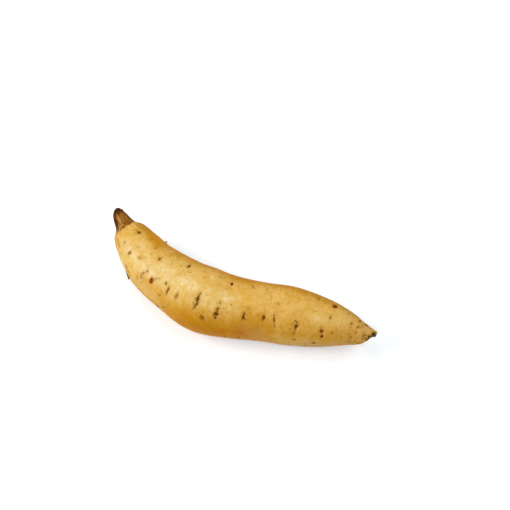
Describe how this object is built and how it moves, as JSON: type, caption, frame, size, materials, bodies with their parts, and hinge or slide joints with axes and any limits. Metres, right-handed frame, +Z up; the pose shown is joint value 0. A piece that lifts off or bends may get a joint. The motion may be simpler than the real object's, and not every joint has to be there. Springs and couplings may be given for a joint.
{
  "type": "sweet potato",
  "caption": "Long, slightly bowed sweet potato with a dried crown stub, a broken tapering tail and shallow rootlet scars across its smooth tan skin.",
  "frame": {"origin": "on the resting surface, under the middle of the root's bounding box", "axes": "+X along the root from the crown stub to the tail, +Y towards the hollow side of its bow, +Z up from the surface that it lies on"},
  "size_m": [0.2094, 0.0666, 0.0429],
  "materials": {
    "skin": null
  },
  "bodies": {
    "root": {"sweet_potato": "skin"}
  },
  "joints": []
}
